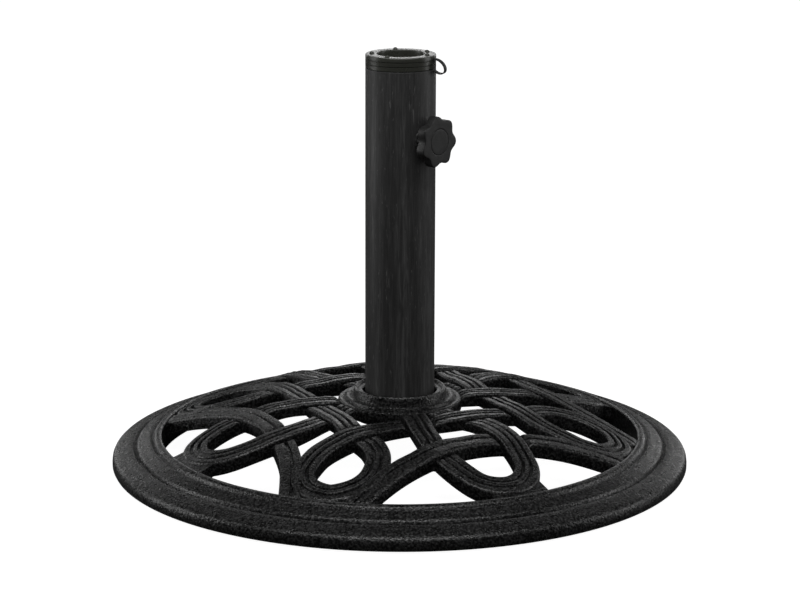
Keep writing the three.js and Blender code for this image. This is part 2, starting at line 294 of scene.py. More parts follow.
# ---- materials ----
class Nodes:
    """A material's node tree, with short calls for the nodes the materials share."""

    def __init__(self, name, color, roughness, metallic=0.0):
        self.material = bpy.data.materials.new(name)
        self.material.use_nodes = True
        self.tree = self.material.node_tree
        self.shader = self.tree.nodes["Principled BSDF"]
        self.shader.inputs["Base Color"].default_value = (*color, 1)
        self.shader.inputs["Roughness"].default_value = roughness
        self.shader.inputs["Metallic"].default_value = metallic
        self.place = self.tree.nodes.new("ShaderNodeTexCoord").outputs["Object"]

    def join(self, source, target):
        self.tree.links.new(source, target)

    def stretched(self, scale):
        node = self.tree.nodes.new("ShaderNodeMapping")
        node.inputs["Scale"].default_value = scale
        self.join(self.place, node.inputs["Vector"])
        return node.outputs["Vector"]

    def noise(self, scale, detail=3.0, rough=0.55, vector=None, distortion=0.0):
        node = self.tree.nodes.new("ShaderNodeTexNoise")
        node.inputs["Scale"].default_value = scale
        node.inputs["Detail"].default_value = detail
        node.inputs["Roughness"].default_value = rough
        node.inputs["Distortion"].default_value = distortion
        self.join(vector or self.place, node.inputs["Vector"])
        return node.outputs["Fac"]

    def spread(self, source, low, high, start=0.0, end=1.0):
        node = self.tree.nodes.new("ShaderNodeMapRange")
        node.inputs["From Min"].default_value = start
        node.inputs["From Max"].default_value = end
        node.inputs["To Min"].default_value = low
        node.inputs["To Max"].default_value = high
        self.join(source, node.inputs["Value"])
        return node.outputs["Result"]

    def ramp(self, source, stops):
        node = self.tree.nodes.new("ShaderNodeValToRGB")
        elements = node.color_ramp.elements
        while len(elements) < len(stops):
            elements.new(0.5)
        for element, (at, color) in zip(elements, stops):
            element.position = at
            element.color = (*color, 1)
        self.join(source, node.inputs["Fac"])
        return node.outputs["Color"]

    def math(self, operation, a, b):
        node = self.tree.nodes.new("ShaderNodeMath")
        node.operation = operation
        for socket, value in zip(node.inputs, (a, b)):
            if isinstance(value, (int, float)):
                socket.default_value = value
            else:
                self.join(value, socket)
        return node.outputs["Value"]

    def color(self, source):
        self.join(source, self.shader.inputs["Base Color"])

    def roughness(self, source):
        self.join(source, self.shader.inputs["Roughness"])

    def bump(self, source, distance, strength=1.0, after=None):
        node = self.tree.nodes.new("ShaderNodeBump")
        node.inputs["Distance"].default_value = distance
        node.inputs["Strength"].default_value = strength
        self.join(source, node.inputs["Height"])
        if after:
            self.join(after, node.inputs["Normal"])
        self.join(node.outputs["Normal"], self.shader.inputs["Normal"])
        return node.outputs["Normal"]


def grey(value):
    return (value, value, value)


def iron_material():
    """Black coat over rough sand casting: hard grains, glossy on their crests, dull in pits."""
    nodes = Nodes("iron_coat", grey(0.006), 0.3)
    blotch = nodes.noise(45, 4)
    grain = nodes.noise(620, 2, 0.5)
    speck = nodes.spread(grain, 0.0, 1.0, 0.34, 0.62)
    nodes.color(nodes.ramp(speck, [(0.2, grey(0.001)), (0.6, grey(0.005)), (0.95, grey(0.03))]))
    nodes.roughness(nodes.spread(nodes.noise(260, 3), 0.24, 0.38, 0.35, 0.65))
    nodes.join(nodes.spread(speck, 0.25, 0.8), nodes.shader.inputs["Specular IOR Level"])
    coarse = nodes.bump(blotch, 0.0015, 0.4)
    nodes.bump(grain, 0.00058, 1.0, after=coarse)
    return nodes.material


def column_material():
    """Dark satin paint with long soft upright smears and a few short lighter flecks."""
    nodes = Nodes("column_paint", grey(0.05), 0.42)
    bands = nodes.noise(1.0, 3, 0.5, vector=nodes.stretched((130, 130, 6)))
    streak = nodes.noise(1.0, 4, 0.6, vector=nodes.stretched((560, 560, 30)), distortion=1.2)
    fleck = nodes.noise(1.0, 2, 0.5, vector=nodes.stretched((900, 900, 110)), distortion=0.8)
    flecks = nodes.spread(fleck, 0.0, 0.55, 0.6, 0.74)
    mixed = nodes.math("MAXIMUM", nodes.math("MULTIPLY", bands, streak), flecks)
    nodes.color(nodes.ramp(mixed, [(0.14, grey(0.026)), (0.27, grey(0.052)), (0.42, grey(0.12))]))
    nodes.roughness(nodes.spread(bands, 0.62, 0.4, 0.3, 0.7))
    nodes.bump(streak, 0.0004, 0.4)
    return nodes.material


def moulded_material(name, color, roughness, grain=0.12):
    nodes = Nodes(name, color, roughness)
    nodes.color(nodes.ramp(nodes.noise(70, 3), [
        (0.3, tuple(c * 0.85 for c in color)), (0.7, tuple(c * 1.15 for c in color))]))
    nodes.roughness(nodes.spread(nodes.noise(160, 3), roughness - 0.06, roughness + 0.08, 0.3, 0.7))
    nodes.bump(nodes.noise(1400, 2), 0.0003, grain)
    return nodes.material


def plated_material(name, color, roughness):
    nodes = Nodes(name, color, roughness, metallic=1.0)
    nodes.color(nodes.ramp(nodes.noise(120, 4), [
        (0.35, tuple(c * 0.8 for c in color)), (0.65, color)]))
    nodes.roughness(nodes.spread(nodes.noise(500, 3), roughness - 0.08, roughness + 0.12, 0.3, 0.7))
    nodes.bump(nodes.noise(700, 3), 0.0003, 0.12)
    return nodes.material


IRON = iron_material()
COLUMN = column_material()
INSERT = moulded_material("insert_plastic", (0.052, 0.054, 0.045), 0.3)
STRAP = moulded_material("strap_plastic", grey(0.012), 0.55)
KNOB = moulded_material("knob_plastic", grey(0.02), 0.5)
CAP = moulded_material("knob_cap_plastic", grey(0.0195), 0.5)
RUBBER = moulded_material("foot_rubber", grey(0.02), 0.8, 0.3)
PAD = moulded_material("pad_plastic", grey(0.03), 0.5)
ZINC = plated_material("zinc", (0.5, 0.51, 0.52), 0.34)
STEEL = plated_material("dark_steel", (0.16, 0.16, 0.165), 0.45)


# ---- casting ----
def polar(degrees, radius, turn=0.0):
    angle = math.radians(degrees + PATTERN_TURN + turn)
    return Vector((radius * math.cos(angle), radius * math.sin(angle)))


def curve_point(points, at):
    """Place and direction on the smooth curve through the points; at counts the points."""
    i = min(int(at), len(points) - 2)
    t = at - i
    a, b, c, d = (points[max(0, min(k, len(points) - 1))] for k in (i - 1, i, i + 1, i + 2))
    m, n = (c - a) * 0.5, (d - b) * 0.5
    place = (2 * t**3 - 3 * t**2 + 1) * b + (t**3 - 2 * t**2 + t) * m
    place += (3 * t**2 - 2 * t**3) * c + (t**3 - t**2) * n
    slope = (6 * t**2 - 6 * t) * b + (3 * t**2 - 4 * t + 1) * m
    slope += (6 * t - 6 * t**2) * c + (3 * t**2 - 2 * t) * n
    return place, slope.normalized()


def height_on(curve, radius):
    """Height at a radius on a smooth curve through (radius, height) points."""
    radius = max(curve[0][0], min(curve[-1][0], radius))
    i = max(k for k in range(len(curve) - 1) if curve[k][0] <= radius)
    t = (radius - curve[i][0]) / (curve[i + 1][0] - curve[i][0])
    a, b, c, d = (curve[max(0, min(k, len(curve) - 1))] for k in (i - 1, i, i + 1, i + 2))
    width = c[0] - b[0]
    m = (c[1] - a[1]) / (c[0] - a[0]) * width
    n = (d[1] - b[1]) / (d[0] - b[0]) * width
    height = (2 * t**3 - 3 * t**2 + 1) * b[1] + (t**3 - 2 * t**2 + t) * m
    return height + (3 * t**2 - 2 * t**3) * c[1] + (t**3 - t**2) * n


def to_line(spot, trace):
    """Distance from a spot to a broken line."""
    nearest = 1e9
    for a, b in zip(trace, trace[1:]):
        leg = b - a
        t = max(0.0, min(1.0, (spot - a).dot(leg) / leg.length_squared))
        nearest = min(nearest, (spot - a - leg * t).length)
    return nearest


def roll_off(away, gap, reach, drop):
    """How far a bar's end has rolled down at this distance from what stops it."""
    t = max(0.0, min(1.0, (gap + reach - away) / reach))
    return drop * (1 - math.sqrt(1 - t * t))


class Line:
    """One rib: its centreline over a quarter, the bars on top, and what it crosses."""

    def __init__(self, points, bars, turn, knots, sink, first=0, last=None, carry=0.0):
        self.curve = [polar(degrees, radius, turn) for degrees, radius in points]
        self.bars = bars
        self.half = bars[-1]
        self.sink = sink
        self.first, self.last, self.carry = first, last or len(points) - 1, carry
        self.over = [polar(d, r, turn) for d, r, sign in knots if sign > 0]
        self.under = [polar(d, r, turn) for d, r, sign in knots if sign < 0]
        self.trace = self.walk(3.0, 3.0)
        self.risen = [(knot, self.run_at(knot)) for knot in self.over]
        self.crossed = []

    def walk(self, fine, coarse):
        """(place, direction, run) along the line, closer together beside the ribs over it."""
        out = []
        at = self.first
        run = 0.0
        while at < self.last:
            place, along = curve_point(self.curve, at)
            if out:
                run += (place - out[-1][0]).length
            out.append((place, along, run))
            near = min((place - knot).length for knot in self.under) if self.under else 1e9
            step = fine if near < 24 else coarse
            i = min(int(at), len(self.curve) - 2)
            at += step / (self.curve[i + 1] - self.curve[i]).length
        place, along = curve_point(self.curve, self.last)
        out.append((place, along, run + (place - out[-1][0]).length))
        if self.carry:
            for i, way in ((0, -1), (-1, 1)):
                place, along, run = out[i]
                out[i] = (place + along * self.carry * way, along, run)
        return out

    def run_at(self, knot):
        """How far along the line it comes nearest to a crossing."""
        return min(self.trace, key=lambda step: (step[0] - knot).length)[2]

    def stretch(self, knot):
        """The part of the line that runs past one crossing, not another part nearby."""
        middle = self.run_at(knot)
        return [place for place, along, run in self.trace if abs(run - middle) < CROSSING_REACH]

    def meet(self, lines):
        """Finds the piece of line that passes over this one at each of its low crossings."""
        for knot in self.under:
            others = [line for line in lines if line is not self]
            over = min(others, key=lambda line: to_line(knot, line.stretch(knot)))
            self.crossed.append((knot, self.run_at(knot), over.stretch(knot), over.half))

    def lift(self, spot, run):
        """Height of the top above the dome: up over a crossing, down under one."""
        total = 0.0
        span = KNOT_REACH - KNOT_FLAT
        for knot, at in self.risen:
            if abs(run - at) < KNOT_REACH + 5:
                total += OVER_LIFT * smooth_step((KNOT_REACH - (spot - knot).length) / span)
        for knot, at, stretch, half in self.crossed:
            away = (spot - knot).length
            if away > CROSSING_REACH or abs(run - at) > CROSSING_REACH:
                continue
            total -= UNDER_DIP * smooth_step((KNOT_REACH - away) / span)
            total -= roll_off(to_line(spot, stretch) - half, TIP_GAP, TIP_ROUND, TIP_DROP)
        total -= roll_off(spot.length - HUB_R, 0.8, 3.2, 2.6)
        total -= roll_off(RIM_INNER_R - spot.length, 0.3, 2.2, 1.0)
        return total

    def edge(self, side):
        """One side of the rib as points with their outward directions."""
        out = []
        for place, along, run in self.trace:
            outward = Vector((-along.y, along.x)) * side
            out.append((place + outward * self.half, outward))
        return out


def edge_drops(outer):
    """(inwards, drop) pairs at a bar's edge: a rounded shoulder, or the side of a groove."""
    if outer:
        return [
            (t * SHOULDER, -SHOULDER * (1 - math.sqrt(1 - (1 - t) ** 2)))
            for t in (0.0, 0.08, 0.28, 0.6, 1.0)
        ]
    steps = ((0.0, 1.0), (0.56, 0.92), (0.68, 0.55), (0.77, 0.16), (0.87, 0.03), (1.0, 0.0))
    return [(GROOVE_REACH * t, -GROOVE_DEEP * d) for t, d in steps]


def top_profile(bars):
    """(across, height) points over a rib's top."""
    points = []
    last = len(bars) - 2
    for i, (a, b) in enumerate(zip(bars, bars[1:])):
        points += [(a + inwards, drop) for inwards, drop in edge_drops(i == 0)]
        points.append(((a + b) / 2, 0.3 if b - a < NARROW_BAR else -0.25))
        points += [(b - inwards, drop) for inwards, drop in reversed(edge_drops(i == last))]
        if i < last:
            points.pop()
    return points


def rib(line):
    top = top_profile(line.bars)
    sections = []
    for place, along, run in line.walk(1.1, 2.4):
        side = Vector((-along.y, along.x))
        section = []
        for across, drop in top:
            spot = place + side * across
            rough = noise.noise(Vector((spot.x, spot.y, 0)) * 0.09) * 0.3
            height = height_on(DOME, spot.length) + line.lift(spot, run) + drop + rough
            section.append((spot.x, spot.y, height))
        for across, up in ((0.4, 0.8), (1.2, 0), (-1.2, 0), (-0.4, 0.8)):
            reach = line.half - abs(across)
            spot = place + side * math.copysign(reach, across)
            under = height_on(UNDERSIDE, spot.length) + line.sink + up
            section.append((spot.x, spot.y, under))
        sections.append(section)
    return loose(lofted(sections), "rib")


def web_outline(middle, half, inner, turn):
    steps = 14
    return [polar(middle + half * (2 * i / steps - 1), inner, turn) for i in range(steps + 1)]


def web(outline, drop):
    """A sunken web that fills the foot of a loop where it meets the rim."""
    sections = []
    for spot in outline:
        far = spot.normalized() * (RIM_INNER_R + 3)
        section = []
        for point, under in ((spot, 0), (far, 0), (far, 1), (spot, 1)):
            height = height_on(DOME, point.length) - drop
            if under:
                height = height_on(UNDERSIDE, point.length) + 0.9
            section.append((point.x, point.y, height))
        sections.append(section)
    return loose(lofted(sections), "web")


def rim_profile():
    """The rim's section: an upright outer side, then three strips with a groove between each."""
    top = [
        (RIM_R, 2.2), (RIM_R, 5.0), (RIM_R - 0.35, 7.6), (RIM_R - 1.1, 9.3),
        (RIM_R - 2.3, 10.5), (RIM_R - 4.0, 11.4), (RIM_R - 7.5, 12.8), (RIM_R - 11.5, 14.4),
        (RIM_R - 14.0, 15.4), (RIM_R - 15.6, 15.5), (RIM_R - 16.7, 14.9), (RIM_R - 17.4, 13.8),
        (RIM_R - 18.0, 13.4), (RIM_R - 18.5, 13.8), (RIM_R - 19.0, 15.3), (RIM_R - 19.6, 16.7),
        (RIM_R - 20.6, 17.6), (RIM_R - 22.2, 18.3), (RIM_R - 26.6, 20.4), (RIM_R - 28.2, 21.3),
        (RIM_R - 29.3, 21.6), (RIM_R - 30.3, 21.1), (RIM_R - 31.0, 20.2), (RIM_R - 31.5, 20.0),
        (RIM_R - 32.0, 20.5), (RIM_R - 32.6, 22.1), (RIM_R - 33.4, 23.1), (RIM_R - 34.8, 23.8),
        (RIM_R - 36.5, 24.2), (RIM_INNER_R + 1.3, 24.1), (RIM_INNER_R + 0.5, 23.6),
        (RIM_INNER_R + 0.1, 22.7), (RIM_INNER_R, 21.0),
    ]
    under = [
        (RIM_INNER_R + 2, 0.8), (RIM_INNER_R + 2.8, 0), (CORE_IN - 0.6, 0), (CORE_IN, 0.6),
        (CORE_IN + 0.3, CORE_DEPTH), (CORE_OUT - 0.3, CORE_DEPTH), (CORE_OUT, 0.6),
        (CORE_OUT + 0.6, 0), (RIM_R - 2.4, 0), (RIM_R - 0.8, 0.6),
    ]
    return under + top


def hub_profile():
    """The hub's section: two low steps, then a raised ring with a lip and a sunken seat."""
    return [
        (BOLT_R + 1, HUB_BOTTOM), (35.4, HUB_BOTTOM), (36.6, 36.3), (40, 38.2),
        (HUB_R - 1.4, 41.2), (HUB_R - 0.5, 41.9),
        (HUB_R, 43), (HUB_R, 49.8), (HUB_R - 0.3, 50.8), (HUB_R - 1.0, 51.4), (46.4, 51.6),
        (44.3, 51.2), (43.3, 50.6), (42.8, 50.8), (42.5, 52.4), (42.1, 53.3), (41.3, 53.8),
        (40.2, 53.8), (38.3, 53.3), (37.4, 52.7), (36.9, 53.0), (36.5, 54.6), (36.0, 58.4),
        (35.6, 59.6), (34.9, 60.2), (34.0, 60.3), (33.3, 59.8), (32.8, 58.7), (32.2, 58.3),
        (30.4, 58.3), (29.5, 58.1), (SOCKET_R, 57.2),
        (SOCKET_R, HUB_FLOOR), (BOLT_R + 1, HUB_FLOOR),
    ]


def meeting_points(first, second):
    """Where two broken lines of (point, outward) cross, with both outward directions."""
    a = np.array([point[:] for point, outward in first])
    b = np.array([point[:] for point, outward in second])
    ra, rb = np.diff(a, axis=0), np.diff(b, axis=0)
    gap = b[None, :-1] - a[:-1, None]
    cross = ra[:, None, 0] * rb[None, :, 1] - ra[:, None, 1] * rb[None, :, 0]
    cross[np.abs(cross) < 1e-9] = 1e-9
    t = (gap[..., 0] * rb[None, :, 1] - gap[..., 1] * rb[None, :, 0]) / cross
    u = (gap[..., 0] * ra[:, None, 1] - gap[..., 1] * ra[:, None, 0]) / cross
    hits = np.argwhere((t >= 0) & (t < 1) & (u >= 0) & (u < 1))
    return [(Vector(a[i] + ra[i] * t[i, j]), first[i][1], second[j][1]) for i, j in hits]


def fillet(corner, out_a, out_b, drop):
    """A small concave fillet that runs up the corner between two walls."""
    along_a = Vector((-out_a.y, out_a.x))
    along_a *= math.copysign(1, along_a.dot(out_b))
    along_b = Vector((-out_b.y, out_b.x))
    along_b *= math.copysign(1, along_b.dot(out_a))
    between = along_a.angle(along_b)
    if not 0.35 < between < 2.7:
        return None
    middle = (along_a + along_b).normalized()
    reach = FILLET / math.tan(between / 2)
    centre = corner + middle * (FILLET / math.sin(between / 2))
    starts = corner + along_a * reach - centre
    ends = corner + along_b * reach - centre
    outline = [corner - middle * 0.9, corner + along_a * reach - out_a * 0.35]
    for i in range(7):
        outline.append(centre + (starts.slerp(ends, i / 6)).normalized() * FILLET)
    outline.append(corner + along_b * reach - out_b * 0.35)
    radius = corner.length
    bottom = height_on(UNDERSIDE, radius) + 1.4
    top = height_on(DOME, radius) - drop
    rings = [[(p.x, p.y, z) for p in outline] for z in (bottom, top)]
    return loose(lofted(rings), "fillet")


def ring_edge(radius, outward):
    points = []
    for i in range(721):
        angle = math.radians(i / 2)
        spoke = Vector((math.cos(angle), math.sin(angle)))
        points.append((spoke * radius, spoke * outward))
    return points


def fillets(lines, webs):
    """A fillet in every corner where ribs meet each other, the hub, the webs or the rim."""
    ribs = [[line.edge(side) for side in (1, -1)] for line in lines]
    walls = [[ring_edge(RIM_INNER_R, -1)], [ring_edge(HUB_R, 1)]]
    for outline in webs:
        walls.append([[(spot, -spot.normalized()) for spot in outline]])
    out = []
    groups = ribs + walls
    for i, first in enumerate(groups[:len(ribs)]):
        for j, second in enumerate(groups[i + 1:]):
            drop = 4.2 if i + 1 + j < len(ribs) else 2.9
            for edge in first:
                for other in second:
                    for corner, out_a, out_b in meeting_points(edge, other):
                        out.append(fillet(corner, out_a, out_b, drop))
    return [piece for piece in out if piece]


def casting():
    lines = []
    webs = []
    solids = []
    end = len(TIGHT_LOOP) - 2
    for quarter in range(QUARTERS):
        turn = 360 / QUARTERS * quarter
        lines.append(Line(TIGHT_LOOP, LOOP_BARS, turn, TIGHT_KNOTS, 0.0, 1, end, 0.8))
        lines.append(Line(WIDE_LOOP, LOOP_BARS, turn, WIDE_KNOTS, 0.3))
        lines.append(Line(ARCH, ARCH_BARS, turn, ARCH_KNOTS, 0.6))
        for middle, half, inner, drop in ((0, 10.5, 174, 2.4), (46.3, 7.2, 168, 1.4)):
            outline = web_outline(middle, half, inner, turn)
            webs.append(outline)
            solids.append(web(outline, drop))
    for line in lines:
        line.meet(lines)
        solids.append(rib(line))
    solids += fillets(lines, webs)
    solids.append(loose(turned(hub_profile(), 160), "hub"))
    ring = loose(turned(rim_profile(), 288), "rim")
    return combine(ring, solids)


def rubber_foot(angle):
    top = CORE_DEPTH - GAP
    profile = [
        (2.4, -FOOT_STAND + 0.7), (3.0, -FOOT_STAND + 0.1), (3.4, -FOOT_STAND),
        (FOOT_R - 0.7, -FOOT_STAND), (FOOT_R - 0.2, -FOOT_STAND + 0.2),
        (FOOT_R, -FOOT_STAND + 0.7), (FOOT_R, -0.6), (FOOT_R - 0.5, -0.2), (FOOT_R - 0.5, 0.6),
        (FOOT_R, 1.0), (FOOT_R, top - 0.8), (FOOT_R - 0.8, top),
    ]
    middle = (CORE_IN + CORE_OUT) / 2
    x, y = middle * math.cos(angle), middle * math.sin(angle)
    return mesh_from("foot", *moved(spun(profile, 40), lambda u, v, w: (u + x, v + y, w)))


stand_for("base_casting", casting(), IRON, "base")
for i in range(FEET):
    mesh = rubber_foot(2 * math.pi * i / FEET)
    stand_for(f"rubber_foot_{i + 1}", mesh, RUBBER, "base")


# ---- column, its foot plate and the bolt that holds it ----
knob_turn = math.radians(KNOB_AZ)
OUTWARD = Vector((math.cos(knob_turn), math.sin(knob_turn), 0))
ACROSS = Vector((-OUTWARD.y, OUTWARD.x, 0))


def on_screw(x, y, z):
    """A point given across, up and out along the clamp screw's axis."""
    place = ACROSS * x + OUTWARD * z
    return place.x, place.y, KNOB_Z + y


def screw_hole(radius, start, end):
    rings = [circle(radius, z, 48) for z in (start, end)]
    return loose(moved(lofted(rings), on_screw))


def round_cutter(radius, bottom, top):
    return loose(lofted([circle(radius, z, 192) for z in (bottom, top)]))


def column_tube():
    bore = TUBE_R - TUBE_WALL
    profile = rounded([
        (bore, TUBE_BOTTOM), (TUBE_R, TUBE_BOTTOM), (TUBE_R, TUBE_TOP), (bore, TUBE_TOP),
    ], 0.6, (0, 1, 2, 3))
    tube = loose(turned(profile, 192))
    return combine(tube, [screw_hole(SCREW_R + 0.8, 15, 35)], "DIFFERENCE")


def foot_plate():
    inner, outer = BOLT_R + GAP + 0.2, TUBE_R - 0.4
    top = PLATE_BOTTOM + PLATE_T
    return mesh_from("plate", *turned(rounded([
        (inner, PLATE_BOTTOM), (outer, PLATE_BOTTOM), (outer, top), (inner, top),
    ], 0.8, (0, 1, 2, 3)), 96))


def foot_nut():
    top = TUBE_BOTTOM + NUT_T
    body = loose(hexagon(NUT_AF, TUBE_BOTTOM, top, 1.2, 1.2))
    bore = BOLT_R + GAP
    way = [
        (bore + 0.8, TUBE_BOTTOM - 0.1), (bore, TUBE_BOTTOM + 0.8), (bore, top - 0.8),
        (bore + 0.8, top + 0.1),
    ]
    return combine(body, [loose(spun(way, 64))], "DIFFERENCE")


def base_bolt():
    head = loose(hexagon(NUT_AF, HEAD_TOP - 7, HEAD_TOP, 1.2, 0))
    top = TUBE_BOTTOM + NUT_T + 2.5
    shank = loose(spun([(BOLT_R, HEAD_TOP - 1), (BOLT_R, TUBE_BOTTOM - 3.9)], 64))
    thread = loose(threaded(BOLT_R, 0.9, 1.75, TUBE_BOTTOM - 4, top, 48))
    return combine(head, [shank, thread])


def flat_washer():
    inner, outer, bottom = BOLT_R + 0.7, 12.0, WASHER_TOP - 2.0
    return mesh_from("washer", *turned(rounded([
        (inner, bottom), (outer, bottom), (outer, WASHER_TOP), (inner, WASHER_TOP),
    ], 0.45, (0, 1, 2, 3)), 96))


def spring_washer():
    """A split ring whose two ends are sprung apart a little."""
    inner, outer, bottom = BOLT_R + 0.5, 10.5, SPRING_TOP - 2.5
    rings = []
    steps = 90
    slit = math.radians(4.5)
    for i in range(steps + 1):
        angle = slit + (2 * math.pi - 2 * slit) * i / steps
        rise = 0.35 * (i / steps - 0.5)
        corners = rounded([
            (inner, bottom + 0.25), (outer, bottom + 0.25), (outer, SPRING_TOP - 0.25),
            (inner, SPRING_TOP - 0.25),
        ], 0.4, (0, 1, 2, 3), 3)
        rings.append([(r * math.cos(angle), r * math.sin(angle), z + rise) for r, z in corners])
    return mesh_from("spring", *lofted(rings))


def clamp_boss():
    """The threaded boss, with the bead of weld that holds it to the tube."""
    flat = BOSS_AF / 2 * 0.97
    corner = BOSS_AF / math.sqrt(3)
    prism = loose(moved(lofted([circle(corner, z, 6) for z in (22.5, BOSS_END)]), on_screw))
    limit = [(corner + 0.1, 20), (corner + 0.1, BOSS_END - 1.1), (flat, BOSS_END + 0.01)]
    hexagonal = loose(combine(prism, [loose(moved(spun(limit, 96), on_screw))], "INTERSECT"))
    bead = []
    steps = 120
    for i in range(steps):
        angle = 2 * math.pi * i / steps
        lump = 1.25 + 0.18 * math.sin(angle * 19)
        reach = corner * 0.97
        middle_out = math.sqrt(TUBE_R**2 - (reach * math.cos(angle)) ** 2)
        ring = []
        for j in range(10):
            turn = 2 * math.pi * j / 10
            r = reach + lump * math.cos(turn)
            out = middle_out + lump * 0.8 * math.sin(turn)
            ring.append((r * math.cos(angle), r * math.sin(angle), out))
        bead.append(ring)
    weld = loose(moved(lofted(bead, closed=True), on_screw))
    body = loose(combine(hexagonal, [weld]))
    low, high = KNOB_Z - 30, KNOB_Z + 30
    tools = [screw_hole(SCREW_R + 0.4, 15, 40), round_cutter(TUBE_R + 0.02, low, high)]
    return combine(body, tools, "DIFFERENCE")


stand_for("column_tube", column_tube(), COLUMN, "base")
stand_for("column_foot_plate", foot_plate(), STEEL, "base")
stand_for("foot_nut", foot_nut(), ZINC, "base")
stand_for("base_bolt", base_bolt(), ZINC, "base")
stand_for("flat_washer", flat_washer(), ZINC, "base")
stand_for("spring_washer", spring_washer(), ZINC, "base")
stand_for("clamp_boss", clamp_boss(), COLUMN, "base")


# ---- insert and pull loop ----
def pole_insert():
    band = COLLAR_H / 3
    top = COLLAR_BOTTOM + COLLAR_H
    spigot = TUBE_R - TUBE_WALL - GAP

    def groove(z):
        return [
            (TUBE_R, z - 0.42), (TUBE_R - 0.18, z - 0.36), (TUBE_R - 0.5, z - 0.16),
            (TUBE_R - 0.5, z + 0.16), (TUBE_R - 0.18, z + 0.36), (TUBE_R, z + 0.42),
        ]

    outer = [
        (BORE_R, SLEEVE_BOTTOM), (20.3, SLEEVE_BOTTOM), (20.3, COLLAR_BOTTOM + 1),
        (22, COLLAR_BOTTOM + 1), (22, TUBE_TOP - 10), (spigot - 0.4, TUBE_TOP - 10),
        (spigot, TUBE_TOP - 9.5), (spigot, COLLAR_BOTTOM), (TUBE_R - 0.3, COLLAR_BOTTOM),
        (TUBE_R, COLLAR_BOTTOM + 0.3),
        *groove(COLLAR_BOTTOM + band), *groove(COLLAR_BOTTOM + 2 * band),
        (TUBE_R, top - 0.9), (TUBE_R - 0.1, top - 0.5), (TUBE_R - 0.35, top - 0.15),
        (TUBE_R - 0.8, top), (BORE_R + 0.8, top), (BORE_R + 0.35, top - 0.15),
        (BORE_R + 0.1, top - 0.45), (BORE_R, top - 0.9),
    ]
    extras = []
    bottom = SLEEVE_BOTTOM + 2
    for i in range(6):
        turn = Matrix.Rotation(i * math.pi / 3, 3, "Z")
        rings = []
        for z, reach in (
            (bottom, 21.6), (bottom + 4, spigot - 0.1), (COLLAR_BOTTOM + 1, spigot - 0.1),
        ):
            corners = [(19.1, -1.2), (reach - 0.4, -1.2), (reach, -0.8), (reach, 0.8),
                       (reach - 0.4, 1.2), (19.1, 1.2)]
            rings.append([tuple(turn @ Vector((x, y, z))) for x, y in corners])
        extras.append(loose(lofted(rings)))
    for degrees in NUBS:
        angle = math.radians(degrees)
        x, y = NUB_AT * math.cos(angle), NUB_AT * math.sin(angle)
        dome = [(NUB_R * math.cos(a), top - 0.4 + 1.9 * math.sin(a)) for a in
                (0, 0.3, 0.6, 0.9, 1.15, 1.35, 1.5)]
        extras.append(loose(moved(spun(dome, 32), lambda u, v, w: (u + x, v + y, w))))
    return combine(loose(turned(outer, 192)), extras)


def pull_loop():
    """A moulded strap bent into a drooping ring, its ends let into the collar."""
    droop, azimuth = math.radians(LOOP_DROOP), math.radians(LOOP_AZ)
    long_half, short_half, thick = 6.75, 4.35, 0.9
    rings = []
    steps = 96
    for i in range(steps):
        angle = 2 * math.pi * i / steps
        normal = Vector((math.cos(angle) / long_half, math.sin(angle) / short_half)).normalized()
        middle = Vector((long_half * math.cos(angle), short_half * math.sin(angle)))
        corners = rounded([
            (-thick / 2, -LOOP_STRAP / 2), (thick / 2, -LOOP_STRAP / 2),
            (thick / 2, LOOP_STRAP / 2), (-thick / 2, LOOP_STRAP / 2),
        ], 0.35, (0, 1, 2, 3), 3)
        ring = []
        for out, wide in corners:
            spot = middle + normal * out
            x = spot.x * math.cos(droop) + spot.y * math.sin(droop) + LOOP_REACH
            z = spot.y * math.cos(droop) - spot.x * math.sin(droop) + LOOP_Z
            y = -wide
            ring.append((
                x * math.cos(azimuth) - y * math.sin(azimuth),
                x * math.sin(azimuth) + y * math.cos(azimuth), z,
            ))
        rings.append(ring)
    strap = loose(lofted(rings, closed=True))
    return combine(strap, [round_cutter(TUBE_R + 0.05, LOOP_Z - 20, LOOP_Z + 20)], "DIFFERENCE")


stand_for("pole_insert", pole_insert(), INSERT, "insert")
stand_for("pull_loop", pull_loop(), STRAP, "insert")


# ---- clamp knob, cap, screw and pressure pad ----
def knob_radius(angle):
    middle = (KNOB_R + KNOB_VALLEY_R) / 2
    swing = (KNOB_R - KNOB_VALLEY_R) / 2
    return middle + swing * math.cos(LOBES * (angle - math.radians(LOBE_TURN)))


def knob_ring(inset, z, lobed=1.0):
    """A ring of the knob: its lobed outline drawn in by inset, or nearer a plain circle."""
    steps = LOBES * 28
    ring = []
    for i in range(steps):
        angle = 2 * math.pi * i / steps
        radius = (knob_radius(angle) - inset) * lobed
        radius += (KNOB_VALLEY_R - inset) * (1 - lobed)
        ring.append((radius * math.cos(angle), radius * math.sin(angle), z))
    return ring


